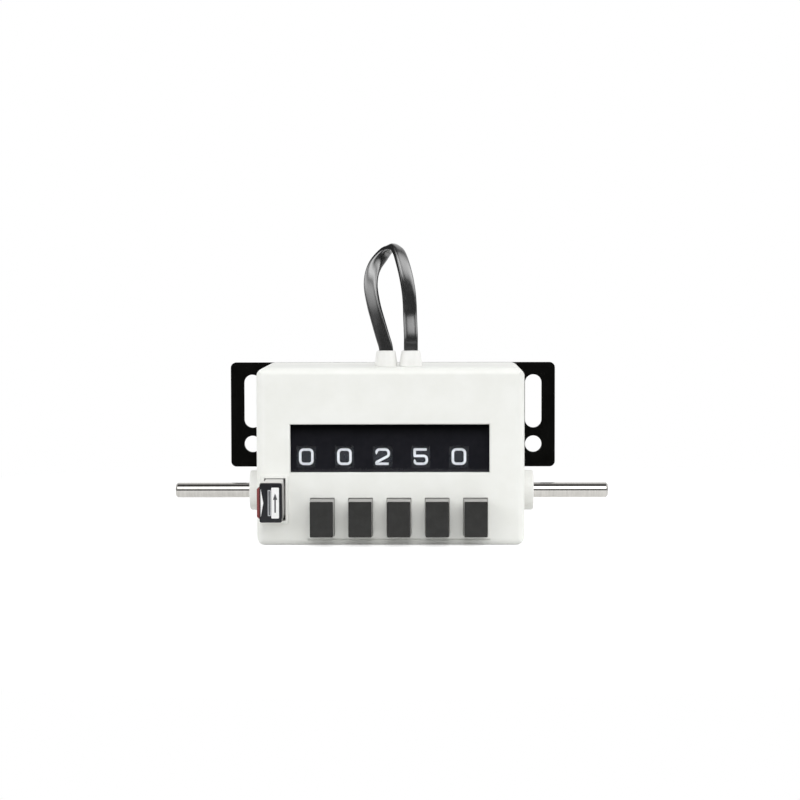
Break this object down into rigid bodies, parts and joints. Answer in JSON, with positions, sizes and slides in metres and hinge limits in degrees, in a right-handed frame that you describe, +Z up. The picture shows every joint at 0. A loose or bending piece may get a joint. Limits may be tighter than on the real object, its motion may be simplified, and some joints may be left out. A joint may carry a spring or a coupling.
{
  "type": "preset stroke counter",
  "caption": "Boxed mechanical stroke counter with figure wheels behind a window, preset push keys, a reset key, a through drive shaft, a back mounting plate and a cable loop.",
  "frame": {"origin": "on the base plane of the housing, at mid width, straight below the drive shaft's axis", "axes": "+X along the drive shaft to the right seen from the front, +Y towards the mounting plate at the back, +Z up"},
  "size_m": [0.116, 0.0495, 0.079],
  "materials": {
    "housing_white": "off-white moulded plastic, fine satin texture",
    "cover_grey": "off-white moulded plastic, satin",
    "plate_black": "black satin paint on sheet steel",
    "screw_steel": "zinc-plated steel",
    "lens_clear": "clear window plastic",
    "mask_black": "black matt sheet",
    "bush_white": "off-white bearing plastic",
    "gland_white": "white moulded plastic",
    "cable_black": "black glossy cable sheath",
    "frame_steel": "zinc-plated sheet steel",
    "rod_steel": "drawn steel",
    "guide_tan": "laminated plastic sheet",
    "switch_black": "black moulded plastic",
    "gear_brass": "cut brass",
    "shaft_steel": "ground and polished steel",
    "lever_steel": "stamped steel",
    "spring_steel": "spring wire",
    "wheel_black": "black moulded plastic with white figures",
    "pinion_nylon": "natural nylon",
    "key_grey": "dark grey moulded plastic",
    "reset_black": "black moulded plastic",
    "strip_red": "dark red moulded plastic",
    "label_white": "white label with a plain arrow",
    "plunger_red": "red moulded plastic"
  },
  "bodies": {
    "housing": {"front_cover": "housing_white", "rear_cover": "cover_grey", "mounting_plate": "plate_black", "cover_screws": "screw_steel", "plate_screws": "screw_steel", "window_lens": "lens_clear", "window_mask": "mask_black", "left_shaft_bush": "bush_white", "right_shaft_bush": "bush_white", "left_cable_gland": "gland_white", "right_cable_gland": "gland_white", "gland_nuts": "gland_white", "cable_loop": "cable_black", "left_side_frame": "frame_steel", "right_side_frame": "frame_steel", "tie_rods": "rod_steel", "frame_screws": "screw_steel", "wheel_axle": "rod_steel", "pinion_axle": "rod_steel", "key_guide": "guide_tan", "trip_axle": "rod_steel", "switch_bridge": "frame_steel", "switch_body": "switch_black", "switch_terminals": "gear_brass", "switch_screws": "screw_steel", "stop_pins": "rod_steel", "return_spring": "spring_steel", "reset_spring": "spring_steel", "key_spring_1": "spring_steel", "key_spring_2": "spring_steel", "key_spring_3": "spring_steel", "key_spring_4": "spring_steel", "key_spring_5": "spring_steel"},
    "drive_shaft": {"drive_shaft": "shaft_steel", "stop_arm": "lever_steel"},
    "drive_gear": {"drive_gear": "gear_brass", "clutch_sleeve": "rod_steel"},
    "figure_wheel_1": {"figure_wheel_1": "wheel_black"},
    "figure_wheel_2": {"figure_wheel_2": "wheel_black"},
    "figure_wheel_3": {"figure_wheel_3": "wheel_black"},
    "figure_wheel_4": {"figure_wheel_4": "wheel_black"},
    "figure_wheel_5": {"figure_wheel_5": "wheel_black"},
    "transfer_pinion_1": {"transfer_pinion_1": "pinion_nylon"},
    "transfer_pinion_2": {"transfer_pinion_2": "pinion_nylon"},
    "transfer_pinion_3": {"transfer_pinion_3": "pinion_nylon"},
    "transfer_pinion_4": {"transfer_pinion_4": "pinion_nylon"},
    "preset_key_1": {"preset_key_1": "key_grey"},
    "preset_key_2": {"preset_key_2": "key_grey"},
    "preset_key_3": {"preset_key_3": "key_grey"},
    "preset_key_4": {"preset_key_4": "key_grey"},
    "preset_key_5": {"preset_key_5": "key_grey"},
    "reset_key": {"reset_key": "reset_black", "reset_strip": "strip_red", "reset_label": "label_white"},
    "reset_comb": {"reset_shaft": "rod_steel", "reset_lever": "lever_steel", "reset_comb": "lever_steel"},
    "trip_bar": {"trip_bar": "lever_steel"},
    "switch_plunger": {"switch_plunger": "plunger_red"}
  },
  "joints": [
    {"name": "drive_shaft_rock", "type": "hinge", "parent": "housing", "child": "drive_shaft", "pos_m": [0, 0, 0.0128], "axis": [1, 0, 0], "range_deg": [0, 50], "stiffness_Nm_per_rad": 0.01, "springref_deg": -11.46, "deforming": ["return_spring"]},
    {"name": "drive_gear_turn", "type": "hinge", "parent": "housing", "child": "drive_gear", "pos_m": [0.0245, 0, 0.0128], "axis": [1, 0, 0], "continuous": true},
    {"name": "figure_wheel_1_turn", "type": "hinge", "parent": "housing", "child": "figure_wheel_1", "pos_m": [-0.0221, -0.0063, 0.023], "axis": [1, 0, 0], "continuous": true},
    {"name": "figure_wheel_2_turn", "type": "hinge", "parent": "housing", "child": "figure_wheel_2", "pos_m": [-0.0121, -0.0063, 0.023], "axis": [1, 0, 0], "continuous": true},
    {"name": "figure_wheel_3_turn", "type": "hinge", "parent": "housing", "child": "figure_wheel_3", "pos_m": [-0.0021, -0.0063, 0.023], "axis": [1, 0, 0], "continuous": true},
    {"name": "figure_wheel_4_turn", "type": "hinge", "parent": "housing", "child": "figure_wheel_4", "pos_m": [0.0079, -0.0063, 0.023], "axis": [1, 0, 0], "continuous": true},
    {"name": "figure_wheel_5_turn", "type": "hinge", "parent": "housing", "child": "figure_wheel_5", "pos_m": [0.0179, -0.0063, 0.023], "axis": [1, 0, 0], "continuous": true},
    {"name": "transfer_pinion_1_turn", "type": "hinge", "parent": "housing", "child": "transfer_pinion_1", "pos_m": [-0.0171, 0.00422, 0.02683], "axis": [1, 0, 0], "continuous": true},
    {"name": "transfer_pinion_2_turn", "type": "hinge", "parent": "housing", "child": "transfer_pinion_2", "pos_m": [-0.0071, 0.00422, 0.02683], "axis": [1, 0, 0], "continuous": true},
    {"name": "transfer_pinion_3_turn", "type": "hinge", "parent": "housing", "child": "transfer_pinion_3", "pos_m": [0.0029, 0.00422, 0.02683], "axis": [1, 0, 0], "continuous": true},
    {"name": "transfer_pinion_4_turn", "type": "hinge", "parent": "housing", "child": "transfer_pinion_4", "pos_m": [0.0129, 0.00422, 0.02683], "axis": [1, 0, 0], "continuous": true},
    {"name": "preset_key_1_push", "type": "slide", "parent": "housing", "child": "preset_key_1", "axis": [0, 1, 0], "range_m": [0, 0.004], "stiffness_N_per_m": 250, "springref_m": -0.003, "deforming": ["key_spring_1"]},
    {"name": "preset_key_2_push", "type": "slide", "parent": "housing", "child": "preset_key_2", "axis": [0, 1, 0], "range_m": [0, 0.004], "stiffness_N_per_m": 250, "springref_m": -0.003, "deforming": ["key_spring_2"]},
    {"name": "preset_key_3_push", "type": "slide", "parent": "housing", "child": "preset_key_3", "axis": [0, 1, 0], "range_m": [0, 0.004], "stiffness_N_per_m": 250, "springref_m": -0.003, "deforming": ["key_spring_3"]},
    {"name": "preset_key_4_push", "type": "slide", "parent": "housing", "child": "preset_key_4", "axis": [0, 1, 0], "range_m": [0, 0.004], "stiffness_N_per_m": 250, "springref_m": -0.003, "deforming": ["key_spring_4"]},
    {"name": "preset_key_5_push", "type": "slide", "parent": "housing", "child": "preset_key_5", "axis": [0, 1, 0], "range_m": [0, 0.004], "stiffness_N_per_m": 250, "springref_m": -0.003, "deforming": ["key_spring_5"]},
    {"name": "reset_key_push", "type": "slide", "parent": "housing", "child": "reset_key", "axis": [0, 1, 0], "range_m": [0, 0.003], "stiffness_N_per_m": 300, "springref_m": -0.003, "deforming": ["reset_spring"]},
    {"name": "reset_comb_turn", "type": "hinge", "parent": "housing", "child": "reset_comb", "pos_m": [0, 0.009, 0.012], "axis": [1, 0, 0], "range_deg": [0, 23]},
    {"name": "trip_bar_tilt", "type": "hinge", "parent": "housing", "child": "trip_bar", "pos_m": [0, 0.0124, 0.0331], "axis": [-1, 0, 0], "range_deg": [0, 4], "stiffness_Nm_per_rad": 0.02, "springref_deg": -11.46},
    {"name": "switch_plunger_push", "type": "slide", "parent": "housing", "child": "switch_plunger", "axis": [0, 0, 1], "range_m": [0, 0.0005]}
  ],
  "couplings": [
    {"joint": "drive_gear_turn", "follows": "figure_wheel_5_turn", "ratio": -1},
    {"joint": "transfer_pinion_1_turn", "follows": "figure_wheel_1_turn", "ratio": -2.5},
    {"joint": "transfer_pinion_2_turn", "follows": "figure_wheel_2_turn", "ratio": -2.5},
    {"joint": "transfer_pinion_3_turn", "follows": "figure_wheel_3_turn", "ratio": -2.5},
    {"joint": "transfer_pinion_4_turn", "follows": "figure_wheel_4_turn", "ratio": -2.5},
    {"joint": "reset_comb_turn", "follows": "reset_key_push", "rad_per_m": 133.33},
    {"joint": "switch_plunger_push", "follows": "trip_bar_tilt", "m_per_rad": 0.00705}
  ]
}
